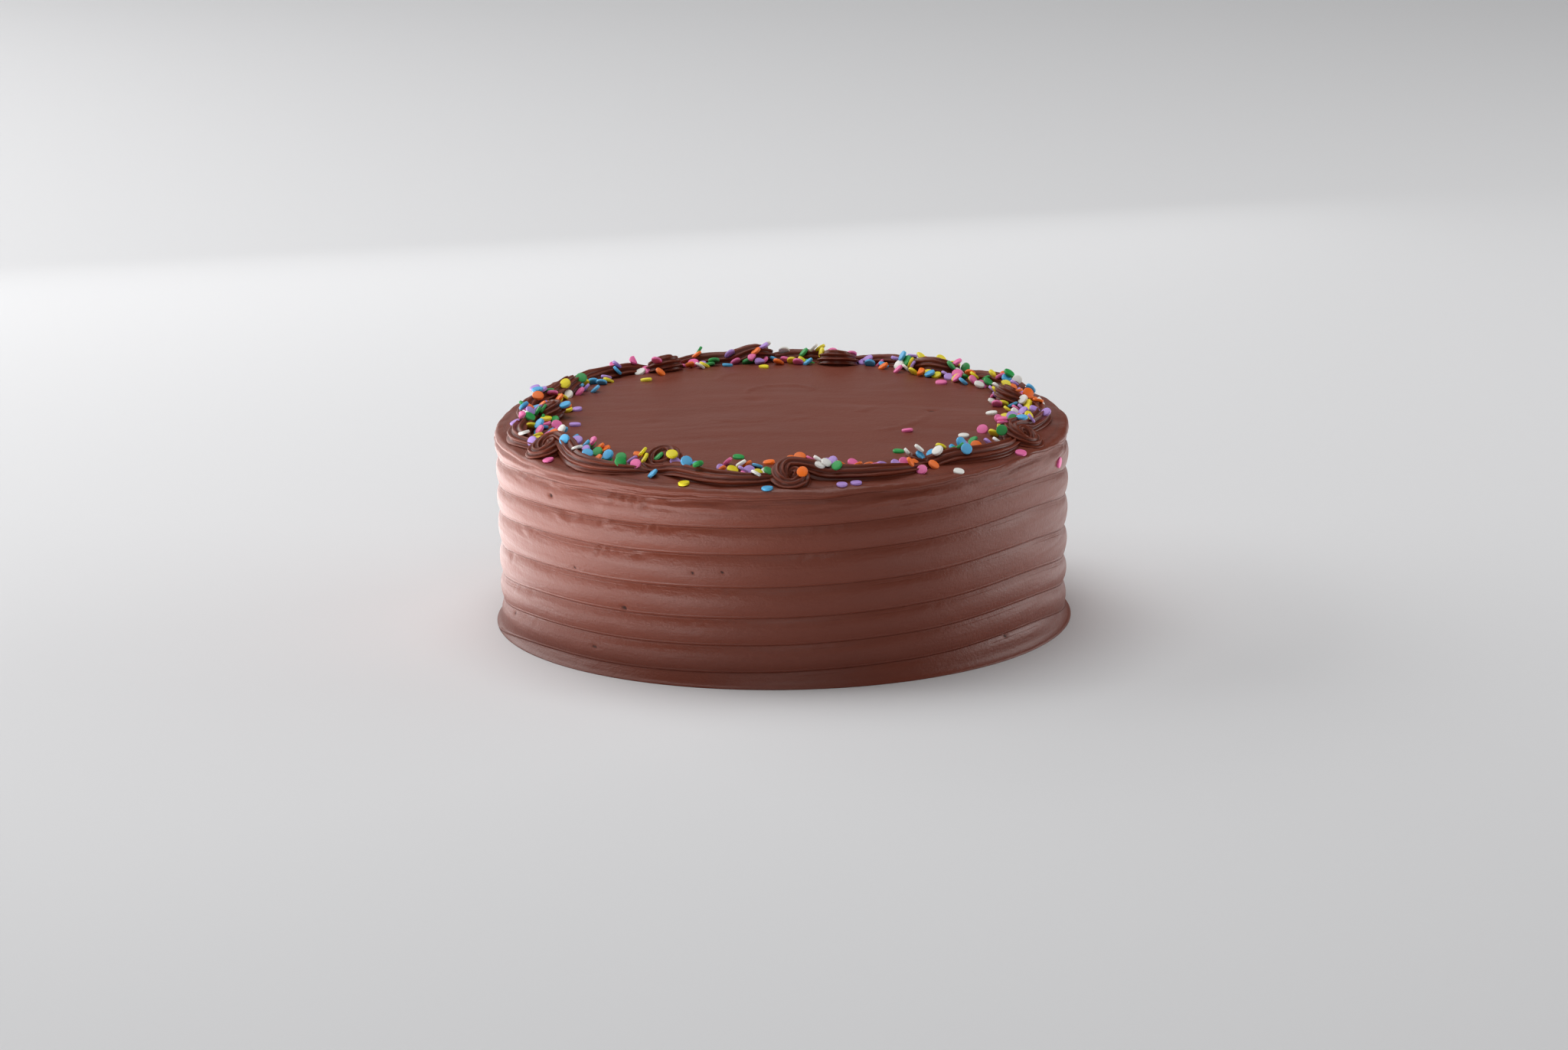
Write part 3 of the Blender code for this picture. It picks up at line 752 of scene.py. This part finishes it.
def icing_material():
    """Satin chocolate buttercream with knife streaks, a fine grain and a lip at each groove, with painted
    shade along each groove line and inside the air holes.
    """
    material, tree, shader = new_material("chocolate_icing")
    place = add_node(tree, "ShaderNodeTexCoord").outputs["Object"]
    band = add_node(tree, "ShaderNodeAttribute", attribute_name="band").outputs["Fac"]
    cloud = grain(tree, place, 28.0, detail=3.0)
    on_top = add_node(tree, "ShaderNodeAttribute", attribute_name="top").outputs["Fac"]
    streak = blend_values(
        tree,
        on_top,
        grain(tree, place, 60.0, stretch=(0.25, 0.25, 5.0), detail=3.0, rough=0.6),
        grain(tree, place, 22.0, stretch=(0.6, 2.2, 0.6), detail=4.0, rough=0.55, warp=0.9),
    )
    fine = grain(tree, place, 900.0, detail=2.0, rough=0.6)
    coarse = grain(tree, place, 260.0, stretch=(1.0, 1.0, 2.0), detail=2.0, rough=0.6)
    from_line = maths(tree, "SUBTRACT", band, maths(tree, "ROUND", band))
    line = remap(tree, maths(tree, "ABSOLUTE", from_line), 0.0, 0.020, 1.0, 0.0)
    lip = remap(tree, maths(tree, "ABSOLUTE", maths(tree, "SUBTRACT", from_line, 0.05)), 0.0, 0.045, 1.0, 0.0)
    wander = maths(tree, "MULTIPLY_ADD", cloud, 0.16, 0.05)
    echo = maths(tree, "ABSOLUTE", maths(tree, "ADD", from_line, wander))
    echo = remap(tree, echo, 0.0, 0.022, 1.0, 0.0)
    echo = maths(tree, "MULTIPLY", echo, remap(tree, grain(tree, place, 17.0), 0.52, 0.62, 0.0, 1.0))
    colour = blend_colours(tree, cloud, (0.155, 0.029, 0.012), (0.188, 0.039, 0.018))
    # Painted shade: the base colour darkens along each groove line, where the crease between two bands falls
    # in shade; the same line also sinks the bump.
    colour = blend_colours(tree, maths(tree, "MULTIPLY", line, 0.42), colour, (0.085, 0.010, 0.004))
    # Painted shade: the base colour goes nearly black inside the small air holes and dips, standing in for
    # their shadowed insides; the hole mask also raises the roughness.
    hole = add_node(tree, "ShaderNodeAttribute", attribute_name="hole").outputs["Fac"]
    colour = blend_colours(tree, remap(tree, hole, 0.25, 0.75, 0.0, 0.9), colour, (0.020, 0.004, 0.002))
    tree.links.new(colour, shader.inputs["Base Color"])
    satin = remap(tree, streak, 0.3, 0.7, 0.42, 0.52)
    tree.links.new(maths(tree, "MULTIPLY_ADD", hole, 0.4, satin), shader.inputs["Roughness"])
    height = maths(tree, "MULTIPLY", streak, 0.22 * MM)
    height = maths(tree, "MULTIPLY_ADD", coarse, 0.16 * MM, height)
    height = maths(tree, "MULTIPLY_ADD", fine, 0.13 * MM, height)
    height = maths(tree, "MULTIPLY_ADD", line, -0.13 * MM, height)
    height = maths(tree, "MULTIPLY_ADD", lip, 0.16 * MM, height)
    height = maths(tree, "MULTIPLY_ADD", echo, -0.07 * MM, height)
    relief = add_node(tree, "ShaderNodeBump", inputs={"Strength": 1.0, "Distance": 1.0, "Height": height})
    tree.links.new(relief.outputs[0], shader.inputs["Normal"])
    shader.inputs["Specular IOR Level"].default_value = 0.46
    return material


def piping_material():
    """Darker, glossier buttercream from the piping bag, with painted shade in the valleys between the ridges.
    """
    material, tree, shader = new_material("piped_icing")
    place = add_node(tree, "ShaderNodeTexCoord").outputs["Object"]
    cloud = grain(tree, place, 60.0, detail=3.0)
    fine = grain(tree, place, 1200.0, detail=2.0, rough=0.6)
    valley_shade = add_node(tree, "ShaderNodeAttribute", attribute_name="valley_shade").outputs["Fac"]
    colour = blend_colours(tree, cloud, (0.140, 0.026, 0.011), (0.180, 0.037, 0.017))
    # Painted shade: the base colour darkens in the valleys between the rope's ridges.
    colour = blend_colours(tree, remap(tree, valley_shade, 0.35, 1.0, 0.0, 0.55), colour, (0.062, 0.008, 0.003))
    tree.links.new(colour, shader.inputs["Base Color"])
    tree.links.new(remap(tree, cloud, 0.3, 0.7, 0.33, 0.42), shader.inputs["Roughness"])
    height = maths(tree, "MULTIPLY", fine, 0.03 * MM)
    relief = add_node(tree, "ShaderNodeBump", inputs={"Strength": 1.0, "Distance": 1.0, "Height": height})
    tree.links.new(relief.outputs[0], shader.inputs["Normal"])
    shader.inputs["Specular IOR Level"].default_value = 0.26
    return material


def sprinkle_material(name, colour):
    """Matt sugar of one colour, a little uneven from disc to disc."""
    material, tree, shader = new_material("sugar_" + name)
    place = add_node(tree, "ShaderNodeTexCoord").outputs["Object"]
    tint = grain(tree, place, 160.0, detail=1.0)
    fine = grain(tree, place, 2500.0, detail=2.0)
    pale = tuple(c + (0.85 - c) * 0.06 for c in colour)
    mixed = blend_colours(tree, remap(tree, tint, 0.3, 0.7, 0.0, 1.0), colour, pale)
    tree.links.new(mixed, shader.inputs["Base Color"])
    tree.links.new(remap(tree, tint, 0.3, 0.7, 0.42, 0.55), shader.inputs["Roughness"])
    shader.inputs["Specular IOR Level"].default_value = 0.3
    height = maths(tree, "MULTIPLY", fine, 0.03 * MM)
    relief = add_node(tree, "ShaderNodeBump", inputs={"Strength": 1.0, "Distance": 1.0, "Height": height})
    tree.links.new(relief.outputs[0], shader.inputs["Normal"])
    return material


def make_stage():
    """A pale floor that curves up at its far edge all round."""
    angles = [math.radians(degrees) for degrees in range(0, 91, 10)]
    rise = [(FLOOR_REACH + math.sin(a), FLOOR_RISE - FLOOR_RISE * math.cos(a)) for a in angles]
    work = spin_profile([(0.0, 0.0), (2.0, 0.0)] + rise, 96, 8)
    mesh = bpy.data.meshes.new("floor")
    work.to_mesh(mesh)
    work.free()
    mesh.shade_smooth()
    mesh.flip_normals()
    floor = bpy.data.objects.new("floor", mesh)
    bpy.context.scene.collection.objects.link(floor)
    material, _, shader = new_material("floor_paint")
    shader.inputs["Base Color"].default_value = (0.72, 0.72, 0.73, 1.0)
    shader.inputs["Roughness"].default_value = 0.9
    mesh.materials.append(material)


def add_light(name, place, aim, width, height, power, colour):
    """A soft rectangular light that the camera doesn't see."""
    lamp = bpy.data.lights.new(name, "AREA")
    lamp.shape = "RECTANGLE"
    lamp.size = width
    lamp.size_y = height
    lamp.energy = power
    lamp.color = colour
    holder = bpy.data.objects.new(name, lamp)
    holder.location = place
    holder.rotation_euler = (Vector(aim) - Vector(place)).to_track_quat("-Z", "Y").to_euler()
    holder.visible_camera = False
    bpy.context.scene.collection.objects.link(holder)


def make_lights():
    """Windows on the left, the glow of a pale table, a card on the right and soft light above."""
    white = (1.0, 1.0, 1.0)
    add_light("window", (-1.4, 0.3, 0.75), (0.0, 0.0, 0.05), 1.0, 0.8, 9.0, white)
    add_light("back_window", (-1.2, 1.3, 0.6), (0.0, 0.0, 0.05), 1.0, 0.8, 8.0, white)
    add_light("table_glow_left", (-0.60, 0.16, 0.002), (-0.60, 0.16, 1.0), 0.92, 1.1, 11.0, white)
    add_light("table_glow_front", (-0.32, -0.35, 0.002), (-0.32, -0.35, 1.0), 0.5, 0.4, 1.3, white)
    add_light("table_glow_right", (0.45, 0.10, 0.002), (0.45, 0.10, 1.0), 0.6, 0.9, 1.3, white)
    add_light("card", (1.5, 0.35, 0.35), (0.0, 0.0, 0.05), 1.2, 0.7, 9.5, white)
    add_light("softbox", (-0.4, 0.5, 2.6), (0.0, 0.2, 0.0), 2.4, 2.4, 48.0, white)
    add_light("front_fill", (0.0, -2.4, 1.6), (0.0, 0.0, 0.05), 1.6, 1.2, 12.0, white)
    add_light("back_card", (-0.15, 0.75, 0.20), (0.0, 0.0, 0.09), 0.9, 0.3, 0.35, white)
    world = bpy.data.worlds.new("room")
    world.use_nodes = True
    shader = world.node_tree.nodes["Background"]
    shader.inputs[0].default_value = (0.98, 0.99, 1.0, 1.0)
    shader.inputs[1].default_value = 0.03
    bpy.context.scene.world = world


def make_camera():
    """The camera at the photograph's place."""
    turn = math.radians(CAMERA_ELEVATION)
    aim = Vector(CAMERA_AIM)
    place = aim + CAMERA_DISTANCE * Vector((0.0, -math.cos(turn), math.sin(turn)))
    view = bpy.data.objects.new("camera", bpy.data.cameras.new("camera"))
    view.data.sensor_fit = "HORIZONTAL"
    view.data.sensor_width = SENSOR_WIDTH
    view.data.lens = FOCAL_PIXELS / FRAME_WIDTH * SENSOR_WIDTH
    look = (aim - place).to_track_quat("-Z", "Y").to_matrix().to_4x4()
    view.matrix_world = Matrix.Translation(place) @ look @ Matrix.Rotation(math.radians(CAMERA_ROLL), 4, "Z")
    bpy.context.scene.collection.objects.link(view)
    bpy.context.scene.camera = view


make_camera()
make_lights()
make_stage()
bpy.context.scene.view_settings.view_transform = "Standard"
body = make_body(icing_material())
scrolls = make_border(piping_material())
sugar = {name: sprinkle_material(name, colour) for name, colour in SPRINKLE_COLOURS.items()}
make_sprinkles([body, scrolls], sugar)

bpy.context.view_layer.update()
